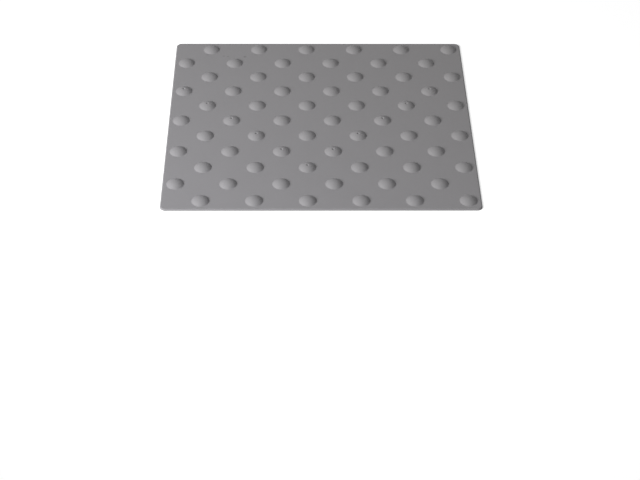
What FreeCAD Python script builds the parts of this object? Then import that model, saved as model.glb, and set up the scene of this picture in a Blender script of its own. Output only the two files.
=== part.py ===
"""Tactile paving slab: one moulded sheet that carries a staggered field of warning domes.

The slab lies flat with its underside on the XY plane and its origin at the middle of that face.
X runs along the strip in which slabs follow each other, Y runs across the strip, and Z is up.
"""

import FreeCAD
import Part
import Sketcher
import math
import os

# Driving sizes of the slab, in millimetres
SIZES = {
    "slab_width": 450.0,
    "slab_depth": 412.5,
    "sheet_thickness": 2.5,
    "corner_radius": 8.0,
    "edge_bevel": 1.5,
    "dome_pitch": 75.0,
    "dome_diameter": 25.0,
    "dome_height": 5.0,
}

SLAB_NODE = "tactile_slab"
PARTS_FOLDER = "parts"
NEAR = 1e-4

# The domes stand on every second place of a square grid whose step is half of the pitch in a row
GRID_STEP = "(Sizes.dome_pitch / 2)"

# A dome's middle keeps this far from the slab's edge, so that its rim stays off the bevel
EDGE_MARGIN = "(Sizes.dome_diameter / 2 + Sizes.edge_bevel)"

# A dome is the part of a ball that stands out of the sheet
BALL_RADIUS = "((Sizes.dome_diameter ^ 2 / 4 + Sizes.dome_height ^ 2) / (2 * Sizes.dome_height))"
BALL_CENTRE = f"(Sizes.sheet_thickness + Sizes.dome_height - {BALL_RADIUS})"


def grid_places(slab_size):
    """Expression for how many grid places fit along one side of the slab."""
    return f"(floor((Sizes.{slab_size} - 2 * {EDGE_MARGIN}) / {GRID_STEP}) + 1)"


def place_offset(places, first):
    """Expression for where one grid place lies, counted from the left or front, with the grid centred."""
    return f"({first} - ({places} - 1) / 2) * {GRID_STEP}"


def every_second(places, first):
    """Expression for how many domes stand on every second grid place from the first one on."""
    return f"floor(({places} - {first} + 1) / 2)"


COLUMNS = grid_places("slab_width")
ROWS = grid_places("slab_depth")


def add_sizes(doc):
    """The sheet of driving sizes, one named cell for each."""
    sheet = doc.addObject("Spreadsheet::Sheet", "Sizes")
    for row, (name, value) in enumerate(SIZES.items(), 1):
        sheet.set(f"A{row}", name)
        sheet.set(f"B{row}", str(value))
        sheet.setAlias(f"B{row}", name)
    doc.recompute()
    return sheet


def origin_feature(body, role):
    """One of the body's own origin planes or axes."""
    return next(item for item in body.Origin.OriginFeatures if item.Role == role)


def edge_names(shape, wanted):
    """Names of the edges of a shape that pass a test."""
    return [f"Edge{number}" for number, edge in enumerate(shape.Edges, 1) if wanted(edge)]


def is_level_at(edge, height):
    """Whether an edge lies in the level plane at that height."""
    return abs(edge.BoundBox.ZMin - height) < NEAR and abs(edge.BoundBox.ZMax - height) < NEAR


def is_upright(edge):
    """Whether an edge is a straight line along Z."""
    return isinstance(edge.Curve, Part.Line) and abs(abs(edge.Curve.Direction.z) - 1) < NEAR


def add_outline(body):
    """Sketch of the slab's outline: a rectangle centred on the origin."""
    sketch = body.newObject("Sketcher::SketchObject", "outline")
    sketch.AttachmentSupport = [(origin_feature(body, "XY_Plane"), "")]
    sketch.MapMode = "FlatFace"
    half_width = SIZES["slab_width"] / 2
    half_depth = SIZES["slab_depth"] / 2
    corners = [
        FreeCAD.Vector(-half_width, -half_depth, 0),
        FreeCAD.Vector(half_width, -half_depth, 0),
        FreeCAD.Vector(half_width, half_depth, 0),
        FreeCAD.Vector(-half_width, half_depth, 0),
    ]
    for number, corner in enumerate(corners):
        sketch.addGeometry(Part.LineSegment(corner, corners[(number + 1) % len(corners)]))
    for number in range(len(corners)):
        sketch.addConstraint(Sketcher.Constraint("Coincident", number, 2, (number + 1) % len(corners), 1))
    front, right, back, left = range(len(corners))
    for level in (front, back):
        sketch.addConstraint(Sketcher.Constraint("Horizontal", level))
    for upright in (right, left):
        sketch.addConstraint(Sketcher.Constraint("Vertical", upright))
    sketch.addConstraint(Sketcher.Constraint("Symmetric", front, 1, back, 1, -1, 1))
    width = sketch.addConstraint(Sketcher.Constraint("DistanceX", front, 1, front, 2, SIZES["slab_width"]))
    depth = sketch.addConstraint(Sketcher.Constraint("DistanceY", right, 1, right, 2, SIZES["slab_depth"]))
    sketch.setExpression(f"Constraints[{width}]", "Sizes.slab_width")
    sketch.setExpression(f"Constraints[{depth}]", "Sizes.slab_depth")
    return sketch


def add_sheet(doc, body):
    """The flat sheet: outline, rounded corners and a bevel all round its upper edge."""
    pad = body.newObject("PartDesign::Pad", "sheet")
    pad.Profile = add_outline(body)
    pad.setExpression("Length", "Sizes.sheet_thickness")
    doc.recompute()

    corners = body.newObject("PartDesign::Fillet", "rounded_corners")
    corners.Base = (pad, edge_names(pad.Shape, is_upright))
    corners.setExpression("Radius", "Sizes.corner_radius")
    doc.recompute()

    top = SIZES["sheet_thickness"]
    bevel = body.newObject("PartDesign::Chamfer", "bevelled_edge")
    bevel.Base = (corners, edge_names(corners.Shape, lambda edge: is_level_at(edge, top)))
    bevel.setExpression("Size", "Sizes.edge_bevel")
    doc.recompute()


def add_dome_lattice(doc, body, name, first_column, first_row):
    """One ball sunk in the sheet and its copies on every second column and row, from the first ones on."""
    ball = body.newObject("PartDesign::AdditiveSphere", f"{name}_ball")
    ball.AttachmentSupport = [(origin_feature(body, "XY_Plane"), "")]
    ball.MapMode = "FlatFace"
    # The ball's poles point sideways, so that its cap has no pole or seam
    ball.AttachmentOffset = FreeCAD.Placement(FreeCAD.Vector(), FreeCAD.Rotation(FreeCAD.Vector(1, 0, 0), 90))
    ball.setExpression("AttachmentOffset.Base.x", place_offset(COLUMNS, first_column))
    ball.setExpression("AttachmentOffset.Base.y", place_offset(ROWS, first_row))
    ball.setExpression("AttachmentOffset.Base.z", BALL_CENTRE)
    ball.setExpression("Radius", BALL_RADIUS)
    doc.recompute()

    lattice = body.newObject("PartDesign::LinearPattern", f"{name}_balls")
    lattice.Originals = [ball]
    columns = every_second(COLUMNS, first_column)
    lattice.Direction = (origin_feature(body, "X_Axis"), [""])
    lattice.Mode = "Extent"
    lattice.setExpression("Length", f"({columns} - 1) * Sizes.dome_pitch")
    lattice.setExpression("Occurrences", columns)
    rows = every_second(ROWS, first_row)
    lattice.Direction2 = (origin_feature(body, "Y_Axis"), [""])
    lattice.Mode2 = "Extent"
    lattice.setExpression("Length2", f"({rows} - 1) * Sizes.dome_pitch")
    lattice.setExpression("Occurrences2", rows)
    body.Tip = lattice
    doc.recompute()
    return lattice.Occurrences * lattice.Occurrences2


def add_flat_underside(doc, body):
    """Cuts away all that the balls have below the sheet, so that only their caps are left."""
    reach = body.newObject("Sketcher::SketchObject", "underside_reach")
    reach.AttachmentSupport = [(origin_feature(body, "XY_Plane"), "")]
    reach.MapMode = "FlatFace"
    radius = SIZES["slab_width"] + SIZES["slab_depth"]
    circle = reach.addGeometry(Part.Circle(FreeCAD.Vector(), FreeCAD.Vector(0, 0, 1), radius))
    reach.addConstraint(Sketcher.Constraint("Coincident", circle, 3, -1, 1))
    size = reach.addConstraint(Sketcher.Constraint("Radius", circle, radius))
    reach.setExpression(f"Constraints[{size}]", "Sizes.slab_width + Sizes.slab_depth")

    trim = body.newObject("PartDesign::Pocket", "flat_underside")
    trim.Profile = reach
    trim.Type = "ThroughAll"
    trim.Reversed = False
    body.Tip = trim
    doc.recompute()


def check_model(doc, body, dome_count):
    """Stops the build if a feature failed, or the slab isn't one valid solid with all its domes."""
    for item in doc.Objects:
        failed = {"Invalid", "Error"} & set(item.State)
        if failed:
            raise RuntimeError(f"{item.Label} is {', '.join(failed)}")
    slab = body.Shape
    if slab.isNull() or not slab.isValid() or len(slab.Solids) != 1:
        raise RuntimeError(f"{body.Label} isn't one valid solid")
    caps = [face for face in slab.Faces if isinstance(face.Surface, Part.Sphere)]
    if len(caps) != dome_count:
        raise RuntimeError(f"{body.Label} has {len(caps)} domes and should have {dome_count}")
    rise = SIZES["dome_height"]
    reach = SIZES["dome_diameter"] / 2
    cap_volume = math.pi * rise * (3 * reach**2 + rise**2) / 6
    volume = doc.getObject("bevelled_edge").Shape.Volume + dome_count * cap_volume
    if not math.isclose(slab.Volume, volume, rel_tol=NEAR):
        raise RuntimeError(f"{body.Label} has {slab.Volume:.0f} mm3 and should have {volume:.0f}")


def main():
    """Builds the slab and writes it as one solid."""
    doc = FreeCAD.newDocument("tactile_paving_slab")
    add_sizes(doc)
    body = doc.addObject("PartDesign::Body", "slab_body")
    body.Label = SLAB_NODE
    add_sheet(doc, body)
    dome_count = add_dome_lattice(doc, body, "odd", first_column=1, first_row=0)
    dome_count += add_dome_lattice(doc, body, "even", first_column=0, first_row=1)
    add_flat_underside(doc, body)
    check_model(doc, body, dome_count)
    os.makedirs(PARTS_FOLDER, exist_ok=True)
    body.Shape.exportStep(os.path.join(PARTS_FOLDER, f"{body.Label}.step"))
    box = body.Shape.optimalBoundingBox()
    print(f"{body.Label}: {dome_count} domes, {box.XLength:.1f} x {box.YLength:.1f} x {box.ZLength:.1f} mm")
    print(f"volume {body.Shape.Volume / 1000:.1f} cm3, {len(body.Shape.Faces)} faces")


main()
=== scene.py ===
"""Looks of a tactile paving slab: one grey polymer moulding with warning domes, on a white studio floor.

All lengths are in metres. X runs along the slab's longer side, Y runs away from its front edge, and Z is up.
"""

import logging
import math
from collections.abc import Mapping, Sequence
from dataclasses import dataclass
from enum import Enum
from typing import Any

import bpy
from mathutils import Matrix, Vector
from mathutils.geometry import delaunay_2d_cdt


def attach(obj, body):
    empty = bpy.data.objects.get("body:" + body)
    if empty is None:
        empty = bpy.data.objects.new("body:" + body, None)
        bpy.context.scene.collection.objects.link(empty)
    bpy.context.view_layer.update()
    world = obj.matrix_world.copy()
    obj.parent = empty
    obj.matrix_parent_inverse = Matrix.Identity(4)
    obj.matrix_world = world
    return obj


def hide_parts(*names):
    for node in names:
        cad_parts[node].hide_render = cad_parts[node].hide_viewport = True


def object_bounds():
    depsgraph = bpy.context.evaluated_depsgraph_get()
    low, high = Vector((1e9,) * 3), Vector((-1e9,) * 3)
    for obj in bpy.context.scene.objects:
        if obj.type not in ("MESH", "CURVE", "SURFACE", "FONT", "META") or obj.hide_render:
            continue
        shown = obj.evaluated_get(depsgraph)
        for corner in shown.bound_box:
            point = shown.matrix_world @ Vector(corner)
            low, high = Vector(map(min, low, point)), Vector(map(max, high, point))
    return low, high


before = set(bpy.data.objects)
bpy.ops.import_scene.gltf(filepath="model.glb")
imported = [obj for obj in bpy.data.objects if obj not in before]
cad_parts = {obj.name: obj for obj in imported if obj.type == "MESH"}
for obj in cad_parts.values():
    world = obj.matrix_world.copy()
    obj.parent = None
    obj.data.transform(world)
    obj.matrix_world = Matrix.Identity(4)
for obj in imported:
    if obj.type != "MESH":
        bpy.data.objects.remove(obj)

CAD_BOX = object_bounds()
SLAB_NODE = "tactile_slab"
SLAB_SLOT = "slab_polymer"
BODY = "root"
MILLIMETRE = 0.001
SHEET_THICKNESS = 2.5 * MILLIMETRE

# The strength at which a glowing surface or the sky shows as white
WHITE_STRENGTH = 1.0

# The value about which a noise texture's values lie
NOISE_MEAN = 0.5

# The filler's number for triangles that keep inside the outermost loop, and how near two points count as one
FILL_INSIDE = 1
FILL_NEAR = 0.001 * MILLIMETRE

Colour = tuple[float, float, float]
Socket = bpy.types.NodeSocket

logger = logging.getLogger("tactile_slab_scene")


@dataclass(frozen=True)
class Signal:
    """A number that a socket carries, with the arithmetic that the finishes use."""

    graph: "NodeGraph"
    socket: Socket

    def __add__(self, other: "Signal | float") -> "Signal":
        """This signal plus another one or a number."""
        return self.graph.maths("ADD", self, other)

    def __radd__(self, other: float) -> "Signal":
        """A number plus this signal."""
        return self.graph.maths("ADD", other, self)

    def __sub__(self, other: "Signal | float") -> "Signal":
        """This signal less another one or a number."""
        return self.graph.maths("SUBTRACT", self, other)

    def __rsub__(self, other: float) -> "Signal":
        """A number less this signal."""
        return self.graph.maths("SUBTRACT", other, self)

    def __mul__(self, other: "Signal | float") -> "Signal":
        """This signal times another one or a number."""
        return self.graph.maths("MULTIPLY", self, other)

    def __rmul__(self, other: float) -> "Signal":
        """A number times this signal."""
        return self.graph.maths("MULTIPLY", other, self)


class NodeGraph:
    """The nodes of one material or of the world."""

    def __init__(self, owner: bpy.types.Material | bpy.types.World) -> None:
        """Starts with no nodes.

        Args:
            owner: the material or the world.
        """
        owner.use_nodes = True
        self.tree = owner.node_tree
        self.tree.nodes.clear()

    def add(
        self,
        kind: str,
        settings: Mapping[str, Any] | None = None,
        sockets: Mapping[str | int, Any] | None = None,
    ) -> bpy.types.Node:
        """Adds one node.

        Args:
            kind: type name of the node.
            settings: the node's own settings, which are set first.
            sockets: for each input, by name or number, a value, a signal or another node's output.

        Returns:
            The new node.
        """
        node = self.tree.nodes.new(kind)
        for name, value in (settings or {}).items():
            setattr(node, name, value)
        for key, value in (sockets or {}).items():
            target = self.pick(node.inputs, key)
            source = value.socket if isinstance(value, Signal) else value
            if isinstance(source, Socket):
                self.tree.links.new(source, target)
            else:
                target.default_value = source
        return node

    def pick(self, sockets: Sequence[Socket], key: str | int) -> Socket:
        """One of a node's sockets.

        Args:
            sockets: the node's inputs or outputs.
            key: the socket's number, or its name among those in use.

        Returns:
            The socket.
        """
        if isinstance(key, int):
            return sockets[key]
        return next(socket for socket in sockets if socket.enabled and socket.name == key)

    def output(self, node: bpy.types.Node, name: str) -> Socket:
        """One of a node's outputs that is in use, by name."""
        return self.pick(node.outputs, name)

    def signal(self, node: bpy.types.Node, name: str) -> Signal:
        """One of a node's outputs as a number to reckon with."""
        return Signal(self, self.output(node, name))

    def maths(self, operation: str, first: Signal | float, second: Signal | float) -> Signal:
        """Adds one step of arithmetic.

        Args:
            operation: name of the step.
            first: its first value.
            second: its second value.

        Returns:
            The result.
        """
        node = self.add("ShaderNodeMath", {"operation": operation}, {0: first, 1: second})
        return self.signal(node, "Value")

    def place(self) -> Socket:
        """Where on its object a point of the surface lies."""
        return self.output(self.add("ShaderNodeTexCoord"), "Object")

    def noise(self, place: Socket, grain: float, detail: float) -> Signal:
        """Adds soft noise between 0 and 1.

        Args:
            place: where on the surface it is read.
            grain: size of its spots.
            detail: how many finer layers it has.

        Returns:
            The noise.
        """
        sockets = {"Vector": place, "Scale": 1 / grain, "Detail": detail}
        return self.signal(self.add("ShaderNodeTexNoise", {}, sockets), "Fac")

    def fade(self, value: Signal, span: tuple[float, float], levels: tuple[float, float]) -> Signal:
        """Adds a smooth change from one level to another.

        Args:
            value: what the level follows.
            span: the values where the change starts and ends.
            levels: the levels before and after it.

        Returns:
            The level.
        """
        sockets = {
            "Value": value,
            "From Min": span[0],
            "From Max": span[1],
            "To Min": levels[0],
            "To Max": levels[1],
        }
        node = self.add("ShaderNodeMapRange", {"interpolation_type": "SMOOTHSTEP"}, sockets)
        return self.signal(node, "Result")

    def blend(self, share: Signal, first: Socket, second: Socket) -> Socket:
        """Adds a blend of two shaders.

        Args:
            share: how much of the second one shows, from nought to one.
            first: the first shader.
            second: the second shader.

        Returns:
            The blend.
        """
        node = self.add("ShaderNodeMixShader", {}, {0: share, 1: first, 2: second})
        return self.output(node, "Shader")

    def seen(self) -> Signal:
        """Tells what the camera sees from what lights other surfaces.

        Returns:
            One where the camera sees the surface itself or in a mirror or glass, and nought for other light.
        """
        path = self.add("ShaderNodeLightPath")
        direct = self.signal(path, "Is Camera Ray")
        mirrored = self.signal(path, "Is Glossy Ray")
        through = self.signal(path, "Is Transmission Ray")
        return direct + mirrored + through


@dataclass(frozen=True)
class Smudge:
    """A small dark mark on the slab's flat land.

    Attributes:
        middle: its middle, in plan.
        radius: its reach.
        depth: how much of the colour it takes away in its middle.
    """

    middle: tuple[float, float]
    radius: float
    depth: float

    def shade(self, graph: NodeGraph, place: Socket) -> Signal:
        """How much the mark darkens the surface.

        Args:
            graph: the material's nodes.
            place: where on the surface it is read.

        Returns:
            The mark's depth in its middle, which fades to nought at its radius.
        """
        ends = {0: place, 1: (*self.middle, SHEET_THICKNESS)}
        distance = graph.add("ShaderNodeVectorMath", {"operation": "DISTANCE"}, ends)
        return graph.fade(graph.signal(distance, "Value"), (0.0, self.radius), (self.depth, 0.0))


@dataclass(frozen=True)
class PolymerFinish:
    """Matte grey polymer, coloured all through, with the fine grain of the mould, and a painted hue of the
    lamp's light: bluer at the front left, where the lamp lights it most, and less blue at the back right, in
    its shade.

    Attributes:
        lit_hue: colour at the front left corner, with the painted bluish hue of the lamp's light there.
        shade_hue: colour at the back right corner, with the painted hue of the shade there.
        painted_light_gradient: share of the way from lit_hue to shade_hue for each metre to the right or to
            the back.
        cloud: size of the faint clouds of tone.
        cloud_depth: how much they change the colour.
        cloud_detail: how many finer layers they have.
        speck: size of the fine specks of tone.
        speck_depth: how much they change the colour.
        speck_detail: how many finer layers they have.
        grain: size of the mould's grain.
        grain_height: height of the grain.
        ripple: size of the slight ripple under the grain.
        ripple_height: height of the ripple.
        relief_detail: how many finer layers the grain and the ripple have.
        roughness: mean roughness.
        roughness_spread: how much the clouds and specks change it.
        sheen: level of the plain mirroring.
        smudges: the dark marks on the flat land.
    """

    # Painted light: the colour is bluer at the front left, where the lamp lights the slab most, and less
    # blue at the back right, in its shade
    lit_hue: Colour = (0.245, 0.240, 0.251)
    shade_hue: Colour = (0.247, 0.240, 0.243)
    painted_light_gradient: float = 1.15
    cloud: float = 55 * MILLIMETRE
    cloud_depth: float = 0.08
    cloud_detail: float = 2.0
    speck: float = 0.7 * MILLIMETRE
    speck_depth: float = 0.14
    speck_detail: float = 3.0
    grain: float = 0.5 * MILLIMETRE
    grain_height: float = 0.12 * MILLIMETRE
    ripple: float = 4 * MILLIMETRE
    ripple_height: float = 0.08 * MILLIMETRE
    relief_detail: float = 1.0
    roughness: float = 0.62
    roughness_spread: float = 0.2
    sheen: float = 0.2
    smudges: tuple[Smudge, ...] = (
        Smudge((-0.1158, 0.1680), radius=3.4 * MILLIMETRE, depth=0.32),
        Smudge((-0.1425, 0.1687), radius=2.8 * MILLIMETRE, depth=0.22),
        Smudge((-0.1492, 0.1697), radius=3.0 * MILLIMETRE, depth=0.20),
    )

    def make(self) -> bpy.types.Material:
        """Builds the material.

        Returns:
            The material, for the whole slab.
        """
        material = bpy.data.materials.new(SLAB_SLOT)
        graph = NodeGraph(material)
        place = graph.place()
        clouds = graph.noise(place, self.cloud, self.cloud_detail) - NOISE_MEAN
        specks = graph.noise(place, self.speck, self.speck_detail) - NOISE_MEAN
        shade = 1.0 + clouds * self.cloud_depth + specks * self.speck_depth
        for smudge in self.smudges:
            shade = shade - smudge.shade(graph, place)
        # The base colour carries the painted hue of the lamp's light, and the clouds, specks and smudges
        # change its tone
        shaded = {0: self.painted_light_hue(graph, place), "Scale": shade}
        colour = graph.add("ShaderNodeVectorMath", {"operation": "SCALE"}, shaded)
        surface = graph.add(
            "ShaderNodeBsdfPrincipled",
            {},
            {
                "Base Color": graph.output(colour, "Vector"),
                "Roughness": self.roughness + (clouds + specks) * self.roughness_spread,
                "Specular IOR Level": self.sheen,
                "Normal": self.relief(graph, place),
            },
        )
        graph.add("ShaderNodeOutputMaterial", {}, {"Surface": graph.output(surface, "BSDF")})
        return material

    def painted_light_hue(self, graph: NodeGraph, place: Socket) -> Socket:
        """The painted hue of the lamp's light, which changes slowly over the slab.

        Args:
            graph: the material's nodes.
            place: where on the surface it is read.

        Returns:
            The colour, halfway between lit_hue and shade_hue in the middle of the slab.
        """
        axes = graph.add("ShaderNodeSeparateXYZ", {}, {"Vector": place})
        across = graph.signal(axes, "X") + graph.signal(axes, "Y")
        # Painted light: the hue follows the lamp's light, bluer at the front left and less blue at the back
        # right
        painted_hues = {"Factor": 0.5 + across * self.painted_light_gradient, "A": (*self.lit_hue, 1.0), "B": (*self.shade_hue, 1.0)}
        return graph.output(graph.add("ShaderNodeMix", {"data_type": "RGBA"}, painted_hues), "Result")

    def relief(self, graph: NodeGraph, place: Socket) -> Socket:
        """The grain and the ripple, which are too fine for the mesh.

        Args:
            graph: the material's nodes.
            place: where on the surface they are read.

        Returns:
            The surface's direction.
        """
        grain = graph.noise(place, self.grain, self.relief_detail) * self.grain_height
        ripple = graph.noise(place, self.ripple, self.relief_detail) * self.ripple_height
        heights = {"Strength": 1.0, "Distance": 1.0, "Height": grain + ripple}
        return graph.output(graph.add("ShaderNodeBump", {}, heights), "Normal")


@dataclass(frozen=True)
class FloorFinish:
    """Pale floor that keeps the slab's shadow, and that the camera sees as white further off.

    Attributes:
        colour: colour of the floor under the studio's light.
        glow: what the camera sees besides, so that the lit floor shows as white up to the slab.
        fade_start: distance from the slab's middle where plain white starts to take over.
        fade_end: distance where it has done so.
    """

    colour: Colour = (0.8, 0.8, 0.8)
    glow: float = 0.52
    fade_start: float = 0.32
    fade_end: float = 0.8

    def make(self) -> bpy.types.Material:
        """Builds the material.

        Returns:
            The material, for the floor.
        """
        material = bpy.data.materials.new("studio_floor")
        graph = NodeGraph(material)
        pale = graph.output(graph.add("ShaderNodeBsdfDiffuse", {}, {"Color": (*self.colour, 1.0)}), "BSDF")
        glow = self.emission(graph, self.glow)
        near = graph.output(graph.add("ShaderNodeAddShader", {}, {0: pale, 1: glow}), "Shader")
        reach = graph.add("ShaderNodeVectorMath", {"operation": "LENGTH"}, {0: graph.place()})
        further = graph.fade(graph.signal(reach, "Value"), (self.fade_start, self.fade_end), (0.0, 1.0))
        lit = graph.blend(further, near, self.emission(graph, WHITE_STRENGTH))
        shown = graph.blend(graph.seen(), pale, lit)
        graph.add("ShaderNodeOutputMaterial", {}, {"Surface": shown})
        return material

    def emission(self, graph: NodeGraph, strength: float) -> Socket:
        """White light that the floor sends out itself, at a strength."""
        return graph.output(graph.add("ShaderNodeEmission", {}, {"Strength": strength}), "Emission")


@dataclass(frozen=True)
class SkyFinish:
    """Even light from all round, which the camera sees as white.

    Attributes:
        colour: colour of the light.
        strength: its strength on the slab and the floor.
    """

    colour: Colour = (1.0, 1.0, 1.0)
    strength: float = 0.26

    def make(self) -> bpy.types.World:
        """Builds the world.

        Returns:
            The world.
        """
        world = bpy.data.worlds.new("studio_sky")
        graph = NodeGraph(world)
        ambient = self.light(graph, self.strength)
        white = self.light(graph, WHITE_STRENGTH)
        shown = graph.blend(graph.seen(), ambient, white)
        graph.add("ShaderNodeOutputWorld", {}, {"Surface": shown})
        return world

    def light(self, graph: NodeGraph, strength: float) -> Socket:
        """The sky's light at a strength."""
        sockets = {"Color": (*self.colour, 1.0), "Strength": strength}
        return graph.output(graph.add("ShaderNodeBackground", {}, sockets), "Background")


def put_in_scene(name: str, data: bpy.types.ID) -> bpy.types.Object:
    """Makes an object and puts it in the scene.

    Args:
        name: the object's name.
        data: its mesh, lamp or camera.

    Returns:
        The object, at the origin.
    """
    piece = bpy.data.objects.new(name, data)
    bpy.context.scene.collection.objects.link(piece)
    return piece


class MeshPlan:
    """Points and faces of one mesh, gathered loop by loop."""

    def __init__(self) -> None:
        """Starts with nothing."""
        self.points: list[Vector] = []
        self.faces: list[Sequence[int]] = []

    def loop(self, points: Sequence[Vector]) -> list[int]:
        """Adds points.

        Args:
            points: the points of one loop, in order.

        Returns:
            Their numbers.
        """
        first = len(self.points)
        self.points.extend(points)
        return list(range(first, len(self.points)))

    def bridge(self, outer: Sequence[int], inner: Sequence[int]) -> None:
        """Joins two closed loops of as many points with a band of faces.

        Args:
            outer: the loop that lies outside, seen from outside the mesh.
            inner: the loop inside it.
        """
        for here in range(len(outer)):
            there = (here + 1) % len(outer)
            self.faces.append((outer[here], outer[there], inner[there], inner[here]))

    def fan(self, rim: Sequence[int], middle: int) -> None:
        """Closes a loop with triangles to a point in its middle."""
        for here in range(len(rim)):
            self.faces.append((rim[here], rim[(here + 1) % len(rim)], middle))

    def fill(self, rim: Sequence[int], holes: Sequence[Sequence[int]]) -> None:
        """Fills a level loop with triangles and leaves its holes open.

        Args:
            rim: the loop, seen from above.
            holes: round loops inside it.
        """
        loops = [rim, *holes]
        numbers = [number for loop in loops for number in loop]
        owner = {number: loop for loop, members in enumerate(loops) for number in members}
        edges = []
        for loop in loops:
            start = len(edges)
            edges.extend((start + step, start + (step + 1) % len(loop)) for step in range(len(loop)))
        flat = [self.points[number].to_2d() for number in numbers]
        _, _, faces, origins, _, _ = delaunay_2d_cdt(flat, edges, [], FILL_INSIDE, FILL_NEAR)
        sources = [numbers[origin[0]] for origin in origins]
        for face in faces:
            corners = [sources[corner] for corner in face]
            owners = {owner[corner] for corner in corners}
            # A hole is round, so a triangle with all its corners on one hole lies inside that hole
            if owners == {0} or len(owners) > 1:
                self.faces.append(corners)

    def make(self, name: str) -> bpy.types.Object:
        """Turns the plan into an object.

        Args:
            name: the object's name.

        Returns:
            The object, shaded smooth, in the scene.
        """
        mesh = bpy.data.meshes.new(name)
        mesh.from_pydata(self.points, [], self.faces)
        mesh.shade_smooth()
        mesh.validate()
        return put_in_scene(name, mesh)


class Crown(Enum):
    """How the top of a dome is finished."""

    PLAIN = "plain"
    PITTED = "pitted"


@dataclass(frozen=True)
class DomeSection:
    """Round section of a dome: a ball's cap with a blended foot, and a small pit on some crowns.

    Attributes:
        height: height of the dome above the flat.
        width: width of the ball's cap at the flat, without the blend.
        foot_radius: radius of the blend at the foot.
        land: width of the flat ring outside the foot, which keeps the land's shading level.
        pit_width: width of a pit.
        pit_depth: depth of a pit in its middle.
        foot_steps: rings in the blend.
        cap_steps: rings in the cap.
        pit_steps: rings in a pit.
    """

    height: float
    width: float = 25 * MILLIMETRE
    foot_radius: float = 1.5 * MILLIMETRE
    land: float = 1.0 * MILLIMETRE
    pit_width: float = 4.0 * MILLIMETRE
    pit_depth: float = 2.4 * MILLIMETRE
    foot_steps: int = 5
    cap_steps: int = 10
    pit_steps: int = 6

    @property
    def ball_radius(self) -> float:
        """Radius of the ball whose cap the dome is."""
        return (self.width**2 / 4 + self.height**2) / (2 * self.height)

    @property
    def drop(self) -> float:
        """Depth of the ball's centre below the flat."""
        return self.ball_radius - self.height

    @property
    def foot_reach(self) -> float:
        """Distance from the dome's axis to where its blended foot runs out into the flat."""
        rise = self.drop + self.foot_radius
        return math.sqrt((self.ball_radius + self.foot_radius) ** 2 - rise**2)

    def on_ball(self, angle: float) -> tuple[float, float]:
        """Distance from the axis and height above the flat, on the ball at an angle from its top."""
        return self.ball_radius * math.sin(angle), self.ball_radius * math.cos(angle) - self.drop

    def rings(self, crown: Crown) -> list[tuple[float, float]]:
        """The section's points.

        Args:
            crown: how the dome's top is finished.

        Returns:
            Distance from the axis and height above the flat, from the flat land inwards to the axis.
        """
        blend = math.atan2(self.foot_reach, self.drop + self.foot_radius)
        rings = [(self.foot_reach + self.land, 0.0)]
        for step in range(self.foot_steps + 1):
            angle = blend * step / self.foot_steps
            reach = self.foot_reach - self.foot_radius * math.sin(angle)
            rings.append((reach, self.foot_radius * (1 - math.cos(angle))))
        lip = 0.0
        if crown is Crown.PITTED:
            lip = math.asin(self.pit_width / 2 / self.ball_radius)
        for step in range(1, self.cap_steps + 1):
            rings.append(self.on_ball(blend + (lip - blend) * step / self.cap_steps))
        if crown is Crown.PITTED:
            for step in range(1, self.pit_steps + 1):
                reach, rise = self.on_ball(lip * (1 - step / self.pit_steps))
                hollow = self.pit_depth * (1 - math.cos(math.pi * step / self.pit_steps)) / 2
                rings.append((reach, rise - hollow))
        return rings


@dataclass(frozen=True)
class EdgeSection:
    """Section of the slab's edge: an upright wall under a bevel, with every corner slightly rounded.

    Attributes:
        thickness: height of the flat top.
        bevel: width and height of the bevel.
        softness: radius of the rounded corners.
        land: width of the flat strips next to the edge, which keep the flat's shading level.
        steps: parts of a rounded corner.
    """

    thickness: float
    bevel: float = 1.5 * MILLIMETRE
    softness: float = 0.35 * MILLIMETRE
    land: float = 1.0 * MILLIMETRE
    steps: int = 4

    def rings(self) -> list[tuple[float, float]]:
        """The section's points.

        Returns:
            Inset from the slab's outline and height, from the underside outwards, up and onto the top.
        """
        wall = self.thickness - self.bevel
        sharp = [
            Vector((self.land, 0.0)),
            Vector((0.0, 0.0)),
            Vector((0.0, wall)),
            Vector((self.bevel, self.thickness)),
            Vector((self.bevel + self.land, self.thickness)),
        ]
        rings = [tuple(sharp[0])]
        for before, corner, after in zip(sharp, sharp[1:], sharp[2:]):
            rings.extend(self.rounded(before, corner, after))
        rings.append(tuple(sharp[-1]))
        return rings

    def rounded(self, before: Vector, corner: Vector, after: Vector) -> list[tuple[float, float]]:
        """Rounds one corner of the section.

        Args:
            before: the point before it.
            corner: the corner.
            after: the point after it.

        Returns:
            Points of the arc that takes the corner's place.
        """
        inward = (before - corner).normalized()
        outward = (after - corner).normalized()
        half = inward.angle(outward) / 2
        centre = corner + (inward + outward).normalized() * self.softness / math.sin(half)
        start = corner + inward * self.softness / math.tan(half) - centre
        finish = corner + outward * self.softness / math.tan(half) - centre
        turns = [start.slerp(finish, step / self.steps) for step in range(self.steps + 1)]
        return [tuple(centre + turn * self.softness) for turn in turns]


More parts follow.
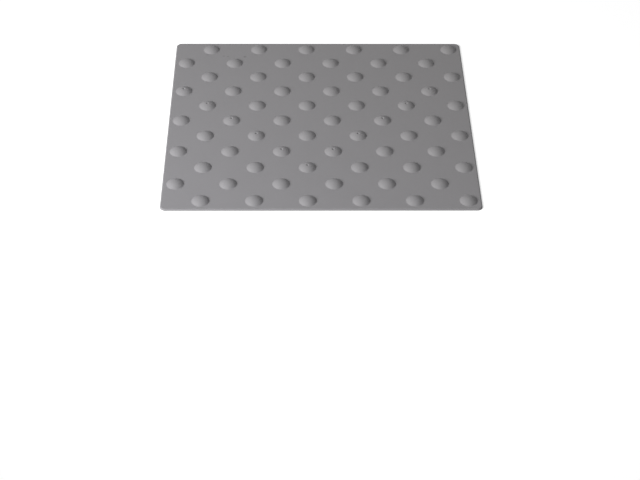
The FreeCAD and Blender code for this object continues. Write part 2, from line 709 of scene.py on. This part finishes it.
@dataclass(frozen=True)
class DomeGrid:
    """Where the domes stand: on every second place of a square grid, and which of them have a pit.

    Attributes:
        columns: grid places from left to right.
        rows: grid places from front to back.
        step: distance between neighbouring places.
        pit_column: column of the foremost dome with a pit.
        pit_row: row of that dome.
        pit_arm: how many more domes have a pit on each arm behind it.
    """

    columns: int
    rows: int
    step: float
    pit_column: int = 5
    pit_row: int = 2
    pit_arm: int = 5

    def domes(self) -> list[tuple[Vector, Crown]]:
        """Every dome of the slab.

        Returns:
            Its middle in plan and the finish of its crown, row by row from the front.
        """
        domes = []
        for row in range(self.rows):
            for column in range(self.columns):
                if (row + column) % 2 == 1:
                    domes.append((self.place(column, row), self.crown(column, row)))
        return domes

    def place(self, column: int, row: int) -> Vector:
        """Middle of one grid place, in plan."""
        return Vector((column - (self.columns - 1) / 2, row - (self.rows - 1) / 2)) * self.step

    def crown(self, column: int, row: int) -> Crown:
        """Finish of one dome's crown: the pits stand on two arms that run back and outwards from one dome.

        Args:
            column: the dome's column.
            row: the dome's row.

        Returns:
            The finish.
        """
        back = row - self.pit_row
        pitted = back == abs(column - self.pit_column) and back <= self.pit_arm
        return Crown.PITTED if pitted else Crown.PLAIN


@dataclass
class PavingSlab:
    """The slab: one moulding with its edge, its flat land and its domes.

    Attributes:
        box: lowest and highest corner of the plain solid.
        thickness: thickness of the sheet without its domes.
        corner_radius: radius of the four corners, in plan.
        dome_pitch: distance between neighbouring domes of one row.
        corner_steps: parts of each of the four corners.
        dome_sides: sides of a dome's rings.
        finish: finish of the whole slab.
    """

    box: tuple[Vector, Vector]
    thickness: float = SHEET_THICKNESS
    corner_radius: float = 8 * MILLIMETRE
    dome_pitch: float = 75 * MILLIMETRE
    corner_steps: int = 12
    dome_sides: int = 48
    finish: PolymerFinish = PolymerFinish()

    @property
    def size(self) -> Vector:
        """Width, depth and height of the slab."""
        return self.box[1] - self.box[0]

    def grid(self) -> DomeGrid:
        """The places of the domes, as many as fit the slab."""
        step = self.dome_pitch / 2
        return DomeGrid(round(self.size.x / step), round(self.size.y / step), step)

    def outline(self, inset: float, height: float) -> list[Vector]:
        """One level loop round the slab.

        Args:
            inset: how far it lies inside the slab's outline.
            height: its height.

        Returns:
            Its points, counter-clockwise from above.
        """
        radius = self.corner_radius - inset
        points = []
        for quarter, (side, end) in enumerate(((1, 1), (-1, 1), (-1, -1), (1, -1))):
            middle_x = side * (self.size.x / 2 - self.corner_radius)
            middle_y = end * (self.size.y / 2 - self.corner_radius)
            for step in range(self.corner_steps + 1):
                angle = (quarter + step / self.corner_steps) * math.pi / 2
                x = middle_x + radius * math.cos(angle)
                y = middle_y + radius * math.sin(angle)
                points.append(Vector((x, y, height)))
        return points

    def circle(self, middle: Vector, reach: float, height: float) -> list[Vector]:
        """One level ring round a dome's axis.

        Args:
            middle: the dome's middle, in plan.
            reach: the ring's radius.
            height: its height.

        Returns:
            Its points, counter-clockwise from above.
        """
        points = []
        for side in range(self.dome_sides):
            angle = 2 * math.pi * side / self.dome_sides
            x = middle.x + reach * math.cos(angle)
            y = middle.y + reach * math.sin(angle)
            points.append(Vector((x, y, height)))
        return points

    def add_edge(self, plan: MeshPlan) -> list[int]:
        """Adds the underside and the edge.

        Args:
            plan: the mesh to add them to.

        Returns:
            The loop on top, where the flat land starts.
        """
        loops = [plan.loop(self.outline(*ring)) for ring in EdgeSection(self.thickness).rings()]
        plan.faces.append(loops[0][::-1])
        for lower, upper in zip(loops, loops[1:]):
            plan.bridge(lower, upper)
        return loops[-1]

    def add_dome(self, plan: MeshPlan, section: DomeSection, middle: Vector, crown: Crown) -> list[int]:
        """Adds one dome.

        Args:
            plan: the mesh to add it to.
            section: its round section.
            middle: its middle, in plan.
            crown: the finish of its top.

        Returns:
            The ring on the flat land round it.
        """
        *rings, (_, top) = section.rings(crown)
        loops = [plan.loop(self.circle(middle, reach, self.thickness + rise)) for reach, rise in rings]
        for outer, inner in zip(loops, loops[1:]):
            plan.bridge(outer, inner)
        (peak,) = plan.loop([Vector((middle.x, middle.y, self.thickness + top))])
        plan.fan(loops[-1], peak)
        return loops[0]

    def mould(self) -> bpy.types.Object:
        """Makes the mesh: the edge, the domes, and the flat land between them.

        Returns:
            The slab's object, undressed.
        """
        plan = MeshPlan()
        section = DomeSection(self.size.z - self.thickness)
        rim = self.add_edge(plan)
        holes = [self.add_dome(plan, section, middle, crown) for middle, crown in self.grid().domes()]
        plan.fill(rim, holes)
        return plan.make("tactile_slab_moulding")

    def dress(self, piece: bpy.types.Object) -> None:
        """Gives the moulding its finish."""
        piece.data.materials.append(self.finish.make())

    def build(self) -> bpy.types.Object:
        """Makes and dresses the moulding, in place of the plain solid.

        Returns:
            The slab's object, riding on its body.
        """
        piece = self.mould()
        self.dress(piece)
        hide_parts(SLAB_NODE)
        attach(piece, BODY)
        return piece


@dataclass(frozen=True)
class Softbox:
    """A large square lamp that faces the slab.

    Attributes:
        azimuth: angle from the front towards the right, in degrees.
        elevation: angle above the floor, in degrees.
        distance: distance from the slab's middle.
        side: length of its sides.
        power: its power, in watts.
    """

    azimuth: float
    elevation: float
    distance: float
    side: float
    power: float

    def make(self, name: str) -> bpy.types.Object:
        """Hangs the lamp.

        Args:
            name: the lamp's name.

        Returns:
            The lamp's object.
        """
        lamp = bpy.data.lights.new(name, "AREA")
        lamp.shape = "SQUARE"
        lamp.size = self.side
        lamp.energy = self.power
        piece = put_in_scene(name, lamp)
        turn = math.radians(self.azimuth)
        lift = math.radians(self.elevation)
        reach = math.cos(lift)
        towards = Vector((reach * math.sin(turn), -reach * math.cos(turn), math.sin(lift)))
        piece.location = towards * self.distance
        piece.rotation_euler = towards.to_track_quat("Z", "Y").to_euler()
        return piece


@dataclass(frozen=True)
class PhotoCamera:
    """The camera, at the photograph's viewing angle.

    Attributes:
        place: where it stands.
        tilt: angle from looking straight down, in degrees.
        turn: turn about the upright, in degrees.
        roll: turn about its own line of sight, in degrees.
        lens: focal length, in millimetres.
    """

    place: tuple[float, float, float] = (-0.0328, -1.8082, 1.3464)
    tilt: float = 48.850
    turn: float = -1.117
    roll: float = 0.663
    lens: float = 84.691

    def make(self) -> bpy.types.Object:
        """Sets up the camera.

        Returns:
            The camera's object, which the scene looks through.
        """
        camera = bpy.data.cameras.new("photo_camera")
        camera.lens = self.lens
        piece = put_in_scene("photo_camera", camera)
        turn = Matrix.Rotation(math.radians(self.turn), 4, "Z")
        tilt = Matrix.Rotation(math.radians(self.tilt), 4, "X")
        roll = Matrix.Rotation(math.radians(self.roll), 4, "Z")
        piece.matrix_world = Matrix.Translation(self.place) @ turn @ tilt @ roll
        bpy.context.scene.camera = piece
        return piece


@dataclass
class Studio:
    """Floor, light and camera round the slab.

    Attributes:
        floor_side: length of the floor's sides.
        floor_gap: how far the floor lies under the slab.
        floor: finish of the floor.
        sky: light from all round.
        key: the lamp, to the left of the camera.
        camera: the camera.
    """

    floor_side: float = 8.0
    floor_gap: float = 0.1 * MILLIMETRE
    floor: FloorFinish = FloorFinish()
    sky: SkyFinish = SkyFinish()
    key: Softbox = Softbox(azimuth=-57.0, elevation=31.0, distance=2.0, side=0.9, power=53.0)
    camera: PhotoCamera = PhotoCamera()

    def build(self) -> list[bpy.types.Object]:
        """Sets up everything that isn't the slab.

        Returns:
            The floor, the lamp and the camera.
        """
        scene = bpy.context.scene
        scene.view_settings.view_transform = "Standard"
        scene.world = self.sky.make()
        return [self.lay_floor(), self.key.make("key_softbox"), self.camera.make()]

    def lay_floor(self) -> bpy.types.Object:
        """Lays the floor just under the slab.

        Returns:
            The floor's object.
        """
        plan = MeshPlan()
        half = self.floor_side / 2
        corners = ((-half, -half), (half, -half), (half, half), (-half, half))
        plan.faces.append(plan.loop([Vector((*corner, -self.floor_gap)) for corner in corners]))
        piece = plan.make("studio_floor")
        piece.data.materials.append(self.floor.make())
        return piece


def main() -> None:
    """Builds the slab and the studio round it, and reports each piece."""
    logging.basicConfig(level=logging.INFO, format="%(name)s: %(message)s")
    slab = PavingSlab(CAD_BOX)
    moulding = slab.build()
    domes = slab.grid().domes()
    logger.info("%s: %d domes, %d faces", moulding.name, len(domes), len(moulding.data.polygons))
    for piece in Studio().build():
        logger.info("%s: %s", piece.name, piece.type.lower())


if __name__ == "__main__":
    main()
